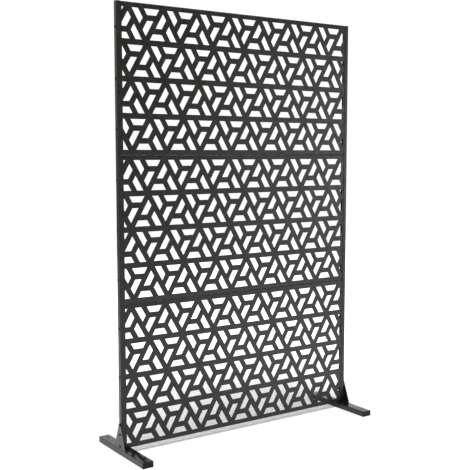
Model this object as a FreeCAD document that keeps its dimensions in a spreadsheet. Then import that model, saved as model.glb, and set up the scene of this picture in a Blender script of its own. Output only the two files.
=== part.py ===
"""Free-standing privacy screen: three lattice panels held by two channel uprights on tube feet.

Lengths are millimetres. X runs along the width, Y from the front (negative) to the back, Z up.
The origin lies on the floor under the middle of the screen.
"""
import FreeCAD
import Part

import math
import os

import Sketcher

# Every settable size: name, value, meaning.
SIZES = (
    ("panel_count", 3, "panels stacked one on another"),
    ("panel_width", 1207, "panel between the webs of the uprights"),
    ("panel_height", 600, "one panel, bent edge to bent edge"),
    ("panel_depth", 18, "fold of the panel, front face to rear edge"),
    ("sheet", 1.2, "panel sheet"),
    ("bend_radius", 2, "outer radius of the panel's top and bottom bends"),
    ("side_margin", 23.5, "solid sheet beside the openings"),
    ("edge_line", 9, "panel edge to the middle line of the nearest lattice bar"),
    ("row_count", 4, "rows of triangles in one panel"),
    ("cell_width", 160, "lattice triangles along a row, corner to corner"),
    ("row_lean", 4.7, "sideways step of the lattice from row to row beyond half a triangle"),
    ("first_corner", 24.3, "side of the openings to the first lattice corner"),
    ("bar_width", 23.4, "bars and arms of the lattice"),
    ("smallest_opening", 5, "openings narrower than this stay solid"),
    ("upright_wall", 1.5, "sheet of the uprights"),
    ("upright_lip", 17.5, "lips of the uprights, outer face to edge"),
    ("upright_radius", 2, "outer bends of the uprights"),
    ("grip_clearance", 0.2, "play between a panel and an upright's lip"),
    ("foot_width", 48, "foot tube across"),
    ("foot_height", 25, "foot tube from floor to top"),
    ("foot_length", 392, "foot over both end caps"),
    ("foot_wall", 2, "wall of the foot tube"),
    ("foot_chamfer", 1.5, "outer corners of the foot tube"),
    ("anchor_diameter", 10, "floor anchor hole"),
    ("anchor_inset", 35, "middle of an anchor hole to the nearest end of its foot"),
    ("cap_plate", 3, "visible plate of an end cap"),
    ("cap_plug", 14, "plug of an end cap inside the tube"),
    ("plug_clearance", 0.2, "play between plug and tube"),
    ("bracket_plate", 3, "bracket between foot and upright"),
    ("bracket_base", 93, "bracket along the foot"),
    ("bracket_tip_radius", 8, "rounded top of the bracket around its highest bolt"),
    ("bracket_low_bolt", 11, "lowest bracket bolt above the foot"),
    ("bracket_mid_bolt", 60, "middle bracket bolt above the foot"),
    ("weld_leg", 3, "weld bead between bracket and foot"),
    ("weld_length", 30, "length of one weld bead"),
    ("weld_gap", 2, "upright to the nearest end of a weld bead"),
    ("screws_per_panel", 3, "screws in each side of a panel"),
    ("screw_margin", 100, "panel edge to its first and last screw"),
    ("shank", 5, "screws and bolts below their heads"),
    ("shank_clearance", 0.2, "play around a shank in its holes"),
    ("head_flats", 8, "screw and bolt heads across flats"),
    ("head_height", 3.5, "screw and bolt heads"),
    ("nut_flats", 8, "nut across flats"),
    ("nut_height", 4, "nut"),
    ("tail", 3, "screws and bolts beyond what they hold"),
    ("overrun", 4, "cutting tools beyond the material"),
)

AXIS_X = FreeCAD.Vector(1, 0, 0)
AXIS_Y = FreeCAD.Vector(0, 1, 0)
AXIS_Z = FreeCAD.Vector(0, 0, 1)
LEFT, RIGHT = -1, 1
HEXAGON = 6

# The lattice: bars slant at sixty degrees. Three equal arms leave the middle of each equilateral
# triangle and meet its sides at a third.
SLANT_SHARE = 1 / math.sqrt(3)
EQUILATERAL_SHARE = math.sqrt(3) / 2
LONG_LEG_SHARE = 2 / 3
SHORT_LEG_SHARE = 1 / 3
HALF_SHARE = 1 / 2
PARALLEL_SHARE = 0.999

# Positions that several pieces share, as expressions of the sizes.
UPRIGHT_OUTER = "(Sizes.panel_width / 2 + Sizes.upright_wall)"
UPRIGHT_DEPTH = "(Sizes.panel_depth + 2 * Sizes.grip_clearance + 2 * Sizes.upright_wall)"
UPRIGHT_HEIGHT = "(Sizes.panel_count * Sizes.panel_height)"
BRACKET_OUTER = f"({UPRIGHT_OUTER} + Sizes.bracket_plate)"
FOOT_MIDDLE = f"({BRACKET_OUTER} - Sizes.foot_width / 2)"
TUBE_LENGTH = "(Sizes.foot_length - 2 * Sizes.cap_plate)"
NUT_SEAT = "(Sizes.panel_width / 2 - Sizes.sheet)"


class Screen:
    """The document, its table of sizes, and the small steps that the pieces share."""

    def __init__(self):
        """Starts an empty document with the table of sizes."""
        self.doc = FreeCAD.newDocument("privacy_screen")
        self.sheet = self.doc.addObject("Spreadsheet::Sheet", "Sizes")
        for row, (name, value, meaning) in enumerate(SIZES, start=1):
            self.sheet.set(f"A{row}", meaning)
            self.sheet.set(f"B{row}", str(value))
            self.sheet.setAlias(f"B{row}", name)
        self.doc.recompute()

    def size(self, name):
        """Returns one size from the table as a number."""
        return float(self.sheet.get(name))

    def add(self, kind, name, **bindings):
        """Adds an object and binds its properties; a double underscore stands for a dot."""
        item = self.doc.addObject(kind, name)
        self.bind(item, **bindings)
        return item

    def bind(self, item, **bindings):
        """Binds properties of an object to expressions."""
        for path, expression in bindings.items():
            item.setExpression(path.replace("__", "."), expression)

    def solid(self, name, shape):
        """Adds a shape that loops over the lattice or the bolts have made."""
        item = self.doc.addObject("Part::Feature", name)
        item.Shape = shape
        return item

    def cut(self, name, base, tool):
        """Cuts a tool out of a base and makes sure that material went."""
        item = self.doc.addObject("Part::Cut", name)
        item.Base = base
        item.Tool = tool
        self.doc.recompute()
        if item.Shape.Volume >= base.Shape.Volume:
            raise RuntimeError(f"{name} has lost no material")
        return item

    def fuse(self, name, *pieces):
        """Joins pieces into one solid."""
        item = self.doc.addObject("Part::MultiFuse", name)
        item.Shapes = list(pieces)
        self.doc.recompute()
        return item

    def mirrored(self, name, source, axis):
        """Mirrors a piece across the plane through the origin that stands square to an axis."""
        item = self.doc.addObject("Part::Mirroring", name)
        item.Source = source
        item.Normal = axis
        return item

    def sketch(self, body, name, role, **offsets):
        """Adds a sketch on one of the body's own origin planes, moved by bound offsets."""
        plane = next(p for p in body.Origin.OriginFeatures if p.Role == role)
        sketch = body.newObject("Sketcher::SketchObject", name)
        sketch.AttachmentSupport = [(plane, "")]
        sketch.MapMode = "FlatFace"
        self.bind(sketch, **{f"AttachmentOffset__Base__{key}": text for key, text in offsets.items()})
        return sketch

    def rectangle(self, sketch, width, height):
        """Draws a rectangle about the sketch's origin with both sides bound."""
        low, high = -HALF_SHARE, HALF_SHARE
        corners = [(low, low), (high, low), (high, high), (low, high)]
        points = [FreeCAD.Vector(x, y, 0) for x, y in corners]
        for index, start in enumerate(points):
            end = points[(index + 1) % len(points)]
            sketch.addGeometry(Part.LineSegment(start, end), False)
        for index in range(len(points)):
            following = (index + 1) % len(points)
            sketch.addConstraint(Sketcher.Constraint("Coincident", index, 2, following, 1))
        for index, way in enumerate(("Horizontal", "Vertical", "Horizontal", "Vertical")):
            sketch.addConstraint(Sketcher.Constraint(way, index))
        sketch.addConstraint(Sketcher.Constraint("Symmetric", 0, 1, 1, 2, -1, 1))
        self.dimension(sketch, "across", width, "DistanceX", 0, 1, 0, 2, high - low)
        self.dimension(sketch, "upward", height, "DistanceY", 1, 1, 1, 2, high - low)

    def dimension(self, sketch, name, expression, *constraint):
        """Adds a named dimension to a sketch and binds it."""
        index = sketch.addConstraint(Sketcher.Constraint(*constraint))
        sketch.renameConstraint(index, name)
        self.bind(sketch, **{f"Constraints__{name}": expression})

    def pad(self, body, name, profile, length, reverse=False):
        """Pads a sketch by a bound length."""
        item = body.newObject("PartDesign::Pad", name)
        item.Profile = profile
        item.Reversed = reverse
        self.bind(item, Length=length)
        self.doc.recompute()
        return item

    def pocket(self, body, name, profile, reverse=False):
        """Cuts a sketch through the whole body and makes sure that material went."""
        before = body.Shape.Volume
        item = body.newObject("PartDesign::Pocket", name)
        item.Profile = profile
        item.Type = "ThroughAll"
        item.Reversed = reverse
        self.doc.recompute()
        if item.Shape.Volume >= before:
            raise RuntimeError(f"{name} has lost no material")
        return item

    def break_edges(self, body, name, base, axis, wanted, **size):
        """Rounds or bevels the straight edges along an axis whose middles are wanted."""
        names = []
        for number, edge in enumerate(base.Shape.Edges, start=1):
            along = edge.tangentAt(edge.FirstParameter)
            if abs(along.dot(axis)) > PARALLEL_SHARE and wanted(edge.CenterOfMass):
                names.append(f"Edge{number}")
        kind = "PartDesign::Fillet" if "Radius" in size else "PartDesign::Chamfer"
        item = body.newObject(kind, name)
        item.Base = (base, names)
        self.bind(item, **size)
        self.doc.recompute()
        return item


def inset(corners, distance):
    """Returns a polygon in the XZ plane with every side moved inwards by a distance."""
    middle = sum(corners, FreeCAD.Vector()) / len(corners)
    lines = []
    for index, start in enumerate(corners):
        along = (corners[(index + 1) % len(corners)] - start).normalize()
        inward = AXIS_Y.cross(along)
        if inward.dot(middle - start) < 0:
            inward = -inward
        lines.append((start + inward * distance, along))
    moved = []
    for index, (point, along) in enumerate(lines):
        before, before_along = lines[index - 1]
        across = AXIS_Y.cross(along)
        travel = (point - before).dot(across) / before_along.dot(across)
        moved.append(before + before_along * travel)
    return moved


def clipped(corners, limit, side):
    """Returns the part of a polygon that lies within an upright line at limit on one side."""
    kept = []
    for index, end in enumerate(corners):
        start = corners[index - 1]
        start_in = (limit - start.x) * side >= 0
        end_in = (limit - end.x) * side >= 0
        if start_in != end_in:
            kept.append(start + (end - start) * ((limit - start.x) / (end.x - start.x)))
        if end_in:
            kept.append(end)
    return kept


def pinwheel(triangle):
    """Yields the three equal four-sided cells that the arms cut a triangle into."""
    middle = sum(triangle, FreeCAD.Vector()) / len(triangle)
    for index, corner in enumerate(triangle):
        before = triangle[index - 1]
        after = triangle[(index + 1) % len(triangle)]
        long_end = corner + (before - corner) * LONG_LEG_SHARE
        short_end = corner + (after - corner) * SHORT_LEG_SHARE
        yield [corner, long_end, middle, short_end]


def lattice_openings(screen):
    """Returns the outlines of all openings of one panel about the panel's middle."""
    cell = screen.size("cell_width")
    rows = int(screen.size("row_count"))
    top = screen.size("panel_height") / 2 - screen.size("edge_line")
    row_height = 2 * top / rows
    limit = screen.size("panel_width") / 2 - screen.size("side_margin")
    first = screen.size("first_corner") - limit
    columns = math.ceil(2 * limit / cell)
    half_bar = screen.size("bar_width") / 2
    smallest = screen.size("smallest_opening")
    slant = row_height * SLANT_SHARE
    side = cell / 2 + slant
    apex = AXIS_X * (side / 2) - AXIS_Z * (side * EQUILATERAL_SHARE)
    shared_bar = AXIS_X * (side - slant / 2) - AXIS_Z * (row_height / 2)

    triangles = []
    for row in range(rows):
        start = first + row * screen.size("row_lean") + cell * HALF_SHARE * (row % 2)
        for column in range(-2, columns + 1):
            corner = FreeCAD.Vector(start + column * cell, 0, top - row * row_height)
            hanging = [corner, corner + AXIS_X * side, corner + apex]
            standing = [(corner + shared_bar) * 2 - point for point in hanging]
            triangles.extend((hanging, standing))

    openings = []
    for triangle in triangles:
        for four_sided in pinwheel(triangle):
            outline = clipped(clipped(inset(four_sided, half_bar), limit, RIGHT), -limit, LEFT)
            if outline:
                widest = max(point.x for point in outline) - min(point.x for point in outline)
                tallest = max(point.z for point in outline) - min(point.z for point in outline)
                if min(widest, tallest) > smallest:
                    openings.append(outline)
    return openings


def fastener_heights(screen):
    """Returns the heights of the panel screws and of the bracket bolts above the floor."""
    count = int(screen.size("screws_per_panel"))
    panel = screen.size("panel_height")
    floor = screen.size("foot_height")
    margin = screen.size("screw_margin")
    step = (panel - 2 * margin) / (count - 1)
    stack = range(int(screen.size("panel_count")))
    heights = [floor + number * panel + margin + step * place for number in stack for place in range(count)]
    low = floor + screen.size("bracket_low_bolt")
    middle = floor + screen.size("bracket_mid_bolt")
    return heights[1:], [low, middle, heights[0]]


def placed_copies(shape, x, heights):
    """Returns one group of separate copies of a shape at several heights."""
    copies = []
    for height in heights:
        copy = shape.copy()
        copy.translate(FreeCAD.Vector(x, 0, height))
        copies.append(copy)
    return Part.Compound(copies)


def make_hole_bars(screen):
    """Makes the bars that cut the screw and bolt holes of both sides."""
    hole = "(Sizes.shank + 2 * Sizes.shank_clearance)"
    bar = screen.add(
        "Part::Box", "hole_bar",
        Length=f"{BRACKET_OUTER} - {NUT_SEAT} + 2 * Sizes.overrun",
        Width=hole,
        Height=hole,
        Placement__Base__x=f"-{BRACKET_OUTER} - Sizes.overrun",
        Placement__Base__y=f"-{hole} / 2",
        Placement__Base__z=f"-{hole} / 2",
    )
    screen.doc.recompute()
    panel_heights, bracket_heights = fastener_heights(screen)
    left = screen.solid("left_hole_bars", placed_copies(bar.Shape, 0, panel_heights + bracket_heights))
    return left, screen.mirrored("right_hole_bars", left, AXIS_X)


def make_panels(screen, hole_bars):
    """Folds one tray, cuts its lattice, and stacks copies of it; each gets its side holes."""
    doc = screen.doc
    body = doc.addObject("PartDesign::Body", "tray")
    outline = screen.sketch(body, "tray_outline", "XZ_Plane")
    screen.rectangle(outline, "Sizes.panel_width", "Sizes.panel_height")
    block = screen.pad(body, "tray_block", outline, "Sizes.panel_depth", reverse=True)
    inside = screen.size("panel_depth") / 2
    screen.break_edges(
        body, "tray_bends", block, AXIS_X, lambda spot: spot.y < inside, Radius="Sizes.bend_radius"
    )
    hollow = screen.sketch(body, "tray_inside", "XZ_Plane", z="-Sizes.sheet")
    screen.rectangle(hollow, "Sizes.panel_width - 2 * Sizes.sheet", "Sizes.panel_height - 2 * Sizes.sheet")
    screen.pocket(body, "tray_hollow", hollow)

    depth = AXIS_Y * (screen.size("sheet") + 2 * screen.size("overrun"))
    start = AXIS_Y * screen.size("overrun")
    prisms = []
    for points in lattice_openings(screen):
        corners = [point - start for point in points]
        prisms.append(Part.Face(Part.makePolygon(corners + corners[:1])).extrude(depth))
    lattice = screen.solid("lattice", Part.Compound(prisms))
    openwork = screen.cut("openwork", body, lattice)

    bars = screen.add("Part::Compound", "hole_bars")
    bars.Links = list(hole_bars)
    panels = []
    for number, name in enumerate(("bottom_panel", "middle_panel", "top_panel")):
        stacked = screen.add(
            "Part::Compound", f"{name}_sheet",
            Placement__Base__y="-Sizes.panel_depth / 2",
            Placement__Base__z=f"Sizes.foot_height + Sizes.panel_height * ({number} + 1 / 2)",
        )
        stacked.Links = [openwork]
        doc.recompute()
        panels.append(screen.cut(name, stacked, bars))
    return panels


def make_uprights(screen, hole_bars):
    """Makes the two U-channels that grip the side edges of the panels."""
    body = screen.doc.addObject("PartDesign::Body", "channel")
    outline = screen.sketch(body, "channel_outline", "XY_Plane")
    screen.rectangle(outline, "Sizes.upright_lip", UPRIGHT_DEPTH)
    bar = screen.pad(body, "channel_bar", outline, UPRIGHT_HEIGHT)
    screen.break_edges(
        body, "channel_bends", bar, AXIS_Z, lambda spot: spot.x < 0, Radius="Sizes.upright_radius"
    )
    reach = "(Sizes.upright_lip - Sizes.upright_wall + Sizes.overrun)"
    hollow = screen.sketch(
        body, "channel_inside", "XY_Plane", x=f"Sizes.upright_wall - Sizes.upright_lip / 2 + {reach} / 2"
    )
    screen.rectangle(hollow, reach, f"{UPRIGHT_DEPTH} - 2 * Sizes.upright_wall")
    screen.pocket(body, "channel_hollow", hollow, reverse=True)
    screen.bind(
        body,
        Placement__Base__x=f"Sizes.upright_lip / 2 - {UPRIGHT_OUTER}",
        Placement__Base__z="Sizes.foot_height",
    )
    screen.doc.recompute()
    left = screen.cut("left_upright", body, hole_bars[0])
    return [left, screen.mirrored("right_upright", left, AXIS_X)]


def make_feet(screen):
    """Makes the two foot tubes with their floor anchor holes."""
    body = screen.doc.addObject("PartDesign::Body", "tube")
    outline = screen.sketch(body, "tube_outline", "XZ_Plane")
    screen.rectangle(outline, "Sizes.foot_width", "Sizes.foot_height")
    bar = screen.pad(body, "tube_bar", outline, TUBE_LENGTH, reverse=True)
    screen.break_edges(body, "tube_corners", bar, AXIS_Y, lambda spot: True, Size="Sizes.foot_chamfer")
    hollow = screen.sketch(body, "tube_inside", "XZ_Plane")
    screen.rectangle(hollow, "Sizes.foot_width - 2 * Sizes.foot_wall", "Sizes.foot_height - 2 * Sizes.foot_wall")
    screen.pocket(body, "tube_hollow", hollow)
    screen.bind(
        body,
        Placement__Base__x=f"-{FOOT_MIDDLE}",
        Placement__Base__y=f"-{TUBE_LENGTH} / 2",
        Placement__Base__z="Sizes.foot_height / 2",
    )
    drills = screen.add("Part::Compound", "anchor_drills")
    drills.Links = [
        screen.add(
            "Part::Cylinder", f"{end}_anchor_drill",
            Radius="Sizes.anchor_diameter / 2",
            Height="Sizes.foot_height + 2 * Sizes.overrun",
            Placement__Base__x=f"-{FOOT_MIDDLE}",
            Placement__Base__y=f"{way} * (Sizes.foot_length / 2 - Sizes.anchor_inset)",
            Placement__Base__z="-Sizes.overrun",
        )
        for end, way in (("front", -1), ("rear", 1))
    ]
    screen.doc.recompute()
    left = screen.cut("left_foot", body, drills)
    return [left, screen.mirrored("right_foot", left, AXIS_X)]


def make_caps(screen):
    """Makes the four plugs that close the ends of the foot tubes."""
    body = screen.doc.addObject("PartDesign::Body", "left_front_foot_cap")
    outline = screen.sketch(body, "cap_outline", "XZ_Plane")
    screen.rectangle(outline, "Sizes.foot_width", "Sizes.foot_height")
    plate = screen.pad(body, "cap_face", outline, "Sizes.cap_plate", reverse=True)
    screen.break_edges(body, "cap_corners", plate, AXIS_Y, lambda spot: True, Size="Sizes.foot_chamfer")
    inside = "2 * (Sizes.foot_wall + Sizes.plug_clearance)"
    plug = screen.sketch(body, "plug_outline", "XZ_Plane", z="-Sizes.cap_plate")
    screen.rectangle(plug, f"Sizes.foot_width - {inside}", f"Sizes.foot_height - {inside}")
    screen.pad(body, "plug_block", plug, "Sizes.cap_plug", reverse=True)
    screen.bind(
        body,
        Placement__Base__x=f"-{FOOT_MIDDLE}",
        Placement__Base__y="-Sizes.foot_length / 2",
        Placement__Base__z="Sizes.foot_height / 2",
    )
    screen.doc.recompute()
    rear = screen.mirrored("left_rear_foot_cap", body, AXIS_Y)
    right_front = screen.mirrored("right_front_foot_cap", body, AXIS_X)
    return [body, rear, right_front, screen.mirrored("right_rear_foot_cap", rear, AXIS_X)]


def draw_bracket(screen, sketch):
    """Draws the bracket: a base line and two sides that run tangent into the rounded top."""
    base = screen.size("bracket_base") / 2
    height = screen.size("screw_margin")
    radius = screen.size("bracket_tip_radius")
    turn = math.acos(radius / math.hypot(base, height)) - math.atan2(height, base)
    top = FreeCAD.Vector(0, height, 0)
    front, rear = FreeCAD.Vector(-base, 0, 0), FreeCAD.Vector(base, 0, 0)
    rear_top = top + FreeCAD.Vector(math.cos(turn), math.sin(turn), 0) * radius
    front_top = FreeCAD.Vector(-rear_top.x, rear_top.y, 0)
    circle = Part.Circle(top, AXIS_Z, radius)
    sketch.addGeometry(Part.LineSegment(front, rear), False)
    sketch.addGeometry(Part.LineSegment(rear, rear_top), False)
    sketch.addGeometry(Part.ArcOfCircle(circle, turn, math.pi - turn), False)
    sketch.addGeometry(Part.LineSegment(front_top, front), False)
    for constraint in (
        ("Coincident", 0, 2, 1, 1),
        ("Tangent", 1, 2, 2, 1),
        ("Tangent", 2, 2, 3, 1),
        ("Coincident", 3, 2, 0, 1),
        ("Horizontal", 0),
        ("Symmetric", 0, 1, 0, 2, -1, 1),
        ("PointOnObject", 2, 3, -2),
    ):
        sketch.addConstraint(Sketcher.Constraint(*constraint))
    screen.dimension(sketch, "base", "Sizes.bracket_base", "DistanceX", 0, 1, 0, 2, 2 * base)
    screen.dimension(sketch, "tip_height", "Sizes.screw_margin", "DistanceY", -1, 1, 2, 3, height)
    screen.dimension(sketch, "tip_radius", "Sizes.bracket_tip_radius", "Radius", 2, radius)


def make_brackets(screen, hole_bars):
    """Makes the two bracket plates with the weld beads that hold them on the feet."""
    body = screen.doc.addObject("PartDesign::Body", "bracket_sheet")
    outline = screen.sketch(body, "bracket_outline", "YZ_Plane")
    draw_bracket(screen, outline)
    screen.pad(body, "bracket_block", outline, "Sizes.bracket_plate", reverse=True)
    screen.bind(body, Placement__Base__x=f"-{UPRIGHT_OUTER}", Placement__Base__z="Sizes.foot_height")
    pieces = [body]
    nearest = f"({UPRIGHT_DEPTH} / 2 + Sizes.weld_gap)"
    for end, start in (("front", f"-{nearest}"), ("rear", f"{nearest} + Sizes.weld_length")):
        bead = screen.doc.addObject("Part::Wedge", f"{end}_weld_bead")
        bead.Placement = FreeCAD.Placement(FreeCAD.Vector(), FreeCAD.Rotation(AXIS_X, AXIS_Z, -AXIS_Y, "XYZ"))
        bead.Xmin = bead.Ymin = bead.Zmin = bead.X2min = bead.X2max = bead.Z2min = 0
        screen.bind(
            bead,
            Xmax="Sizes.weld_leg",
            Ymax="Sizes.weld_leg",
            Zmax="Sizes.weld_length",
            Z2max="Sizes.weld_length",
            Placement__Base__x=f"-{UPRIGHT_OUTER}",
            Placement__Base__y=start,
            Placement__Base__z="Sizes.foot_height",
        )
        pieces.append(bead)
    screen.doc.recompute()
    left = screen.cut("left_bracket", screen.fuse("welded_bracket", *pieces), hole_bars[0])
    return [left, screen.mirrored("right_bracket", left, AXIS_X)]


def hexagon(screen, name, flats, height, start):
    """Makes a six-sided block along +X from a bound start."""
    block = screen.doc.addObject("Part::Prism", name)
    block.Polygon = HEXAGON
    block.Placement = FreeCAD.Placement(FreeCAD.Vector(), FreeCAD.Rotation(AXIS_Z, AXIS_X))
    screen.bind(block, Circumradius=f"{flats} / sqrt(3)", Height=height, Placement__Base__x=start)
    return block


def shank(screen, name, length, start):
    """Makes a plain four-sided shank along +X from a bound start."""
    return screen.add(
        "Part::Box", name,
        Length=length,
        Width="Sizes.shank",
        Height="Sizes.shank",
        Placement__Base__x=start,
        Placement__Base__y="-Sizes.shank / 2",
        Placement__Base__z="-Sizes.shank / 2",
    )


def make_bolt(screen, name, held):
    """Makes one hexagon-head screw or bolt along +X, its head's seat at the origin."""
    head = hexagon(screen, f"{name}_head", "Sizes.head_flats", "Sizes.head_height", "-Sizes.head_height")
    return screen.fuse(name, head, shank(screen, f"{name}_shank", f"{held} + Sizes.tail", "0"))


def make_nut(screen):
    """Makes one hexagon nut along +X, its seat at the origin."""
    block = hexagon(screen, "nut_block", "Sizes.nut_flats", "Sizes.nut_height", "0")
    bore = shank(screen, "nut_bore", "Sizes.nut_height + 2 * Sizes.overrun", "-Sizes.overrun")
    screen.doc.recompute()
    return screen.cut("nut", block, bore)


def make_fasteners(screen):
    """Makes the screws, bolts and nuts of both sides, each kind as one group of separate solids."""
    panel_heights, bracket_heights = fastener_heights(screen)
    upright_outer = screen.size("panel_width") / 2 + screen.size("upright_wall")
    bracket_outer = upright_outer + screen.size("bracket_plate")
    nut_seat = screen.size("panel_width") / 2 - screen.size("sheet")
    sheets = "Sizes.upright_wall + Sizes.sheet"
    screw = make_bolt(screen, "panel_screw", sheets)
    bolt = make_bolt(screen, "bracket_bolt", f"Sizes.bracket_plate + {sheets} + Sizes.nut_height")
    groups = []
    for name, piece, seat, heights in (
        ("panel_screws", screw, upright_outer, panel_heights),
        ("bracket_bolts", bolt, bracket_outer, bracket_heights),
        ("bracket_nuts", make_nut(screen), nut_seat, bracket_heights),
    ):
        left = screen.solid(f"left_{name}", placed_copies(piece.Shape, LEFT * seat, heights))
        groups.extend((left, screen.mirrored(f"right_{name}", left, AXIS_X)))
    return groups


def export(screen, pieces):
    """Checks every object and writes one file for each piece."""
    screen.doc.recompute()
    for item in screen.doc.Objects:
        if "Invalid" in item.State or "Error" in item.State:
            raise RuntimeError(f"{item.Name} is not up to date: {item.State}")
        shape = getattr(item, "Shape", None)
        if shape is not None and item in pieces:
            if shape.isNull() or not shape.isValid() or not shape.Solids:
                raise RuntimeError(f"{item.Name} has no valid solid")
    os.makedirs("parts", exist_ok=True)
    for piece in pieces:
        piece.Label = piece.Name
        piece.Shape.exportStep(f"parts/{piece.Name}.step")


def main():
    """Builds the screen from the floor up and exports it."""
    screen = Screen()
    hole_bars = make_hole_bars(screen)
    pieces = make_feet(screen)
    pieces += make_caps(screen)
    pieces += make_brackets(screen, hole_bars)
    pieces += make_uprights(screen, hole_bars)
    pieces += make_panels(screen, hole_bars)
    pieces += make_fasteners(screen)
    export(screen, pieces)


main()
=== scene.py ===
"""Dresses the privacy screen: lattice panels, uprights, feet and fastenings, in a plain studio."""
import logging
import math
from dataclasses import dataclass
from enum import Enum
from typing import Any

import bmesh
import bpy
from mathutils import Matrix, Vector


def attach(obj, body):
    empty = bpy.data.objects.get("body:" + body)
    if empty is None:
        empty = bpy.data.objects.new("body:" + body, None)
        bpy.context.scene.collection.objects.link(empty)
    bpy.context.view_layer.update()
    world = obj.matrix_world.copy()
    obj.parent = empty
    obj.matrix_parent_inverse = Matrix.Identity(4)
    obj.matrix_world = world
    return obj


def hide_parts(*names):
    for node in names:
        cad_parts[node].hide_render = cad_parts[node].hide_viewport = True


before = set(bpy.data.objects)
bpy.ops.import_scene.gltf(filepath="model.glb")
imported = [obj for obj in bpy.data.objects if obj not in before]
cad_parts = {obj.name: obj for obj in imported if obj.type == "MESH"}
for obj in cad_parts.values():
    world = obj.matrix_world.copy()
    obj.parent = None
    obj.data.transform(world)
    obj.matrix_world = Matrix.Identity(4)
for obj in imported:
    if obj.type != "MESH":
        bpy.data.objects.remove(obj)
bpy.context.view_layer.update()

LOG = logging.getLogger("privacy_screen")
BODY = "root"
NOISE_SPAN = (0.3, 0.7)

Triple = tuple[float, float, float]
Colour = Triple
Span = tuple[float, float]
Socket = bpy.types.NodeSocket
Ring = list[bmesh.types.BMVert]


class Choice(Enum):
    """A choice whose options lend their names to nodes and pieces."""

    @property
    def word(self) -> str:
        """The option's name as the nodes write it."""
        return self.name.lower()


class Side(Choice):
    """The two ends of the screen, each with the way that it points along X."""

    LEFT = -1
    RIGHT = 1


class End(Choice):
    """The two ends of a foot, each with the way that it points along Y."""

    FRONT = -1
    REAR = 1


class Level(Choice):
    """The three stacked panels, counted from the floor."""

    BOTTOM = 0
    MIDDLE = 1
    TOP = 2


class Tree:
    """A node tree with short ways to add nodes and join them."""

    def __init__(self, tree: bpy.types.NodeTree) -> None:
        """Wraps a node tree."""
        self.tree = tree

    def add(
        self, kind: str, inputs: dict[str | int, Any] | None = None, **settings: Any
    ) -> bpy.types.Node:
        """Adds a node.

        Args:
            kind: The node's type.
            inputs: Values or output sockets for its inputs, by name or number.
            settings: Properties of the node itself.

        Returns:
            The new node.
        """
        node = self.tree.nodes.new(kind)
        for name, value in settings.items():
            setattr(node, name, value)
        for key, value in (inputs or {}).items():
            self.feed(node.inputs[key], value)
        return node

    def feed(self, socket: Socket, value: Any) -> None:
        """Links an output to a socket, or sets the socket's value.

        Args:
            socket: The input to fill.
            value: An output socket or a plain value.
        """
        if isinstance(value, Socket):
            self.tree.links.new(value, socket)
        else:
            socket.default_value = value

    def math(self, operation: str, *values: Any) -> Socket:
        """Adds a Math node and returns its result."""
        return self.add("ShaderNodeMath", dict(enumerate(values)), operation=operation).outputs[0]

    def vector(self, **parts: Any) -> Socket:
        """Joins numbers for X, Y and Z into a vector."""
        return self.add("ShaderNodeCombineXYZ", parts).outputs[0]


class Surface(Tree):
    """The nodes of a new material, whose patterns follow the place on the piece."""

    def __init__(self, name: str) -> None:
        """Starts an empty material.

        Args:
            name: The material's name.
        """
        self.material = bpy.data.materials.new(name)
        self.material.use_nodes = True
        super().__init__(self.material.node_tree)
        self.tree.nodes.clear()
        self.spot = self.add("ShaderNodeTexCoord").outputs["Object"]

    def length(self, vector: Socket) -> Socket:
        """Measures a vector."""
        return self.add("ShaderNodeVectorMath", {0: vector}, operation="LENGTH").outputs["Value"]

    def span(self, value: Socket, given: Span, wanted: Span) -> Socket:
        """Maps a value from one span to another and holds it at the ends."""
        ends = {"From Min": given[0], "From Max": given[1], "To Min": wanted[0], "To Max": wanted[1]}
        return self.add("ShaderNodeMapRange", {"Value": value, **ends}).outputs[0]

    def noise(self, per_metre: float, detail: float = 2.0) -> Socket:
        """Adds a noise pattern and returns its value."""
        inputs = {"Vector": self.spot, "Scale": per_metre, "Detail": detail}
        return self.add("ShaderNodeTexNoise", inputs).outputs["Fac"]

    def blend(self, share: Socket, first: Colour, second: Colour) -> Socket:
        """Mixes two colours by a share."""
        colours = {0: share, 6: (*first, 1), 7: (*second, 1)}
        return self.add("ShaderNodeMix", colours, data_type="RGBA").outputs[2]

    def relief(self, height: Socket, strength: float, depth: float) -> Socket:
        """Raises a pattern as fine relief, of a depth in metres."""
        inputs = {"Strength": strength, "Distance": depth, "Height": height}
        return self.add("ShaderNodeBump", inputs).outputs[0]

    def show(self, shader: bpy.types.Node) -> bpy.types.Material:
        """Ends the material in a shader and returns it."""
        self.add("ShaderNodeOutputMaterial", {"Surface": shader.outputs[0]})
        return self.material


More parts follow.
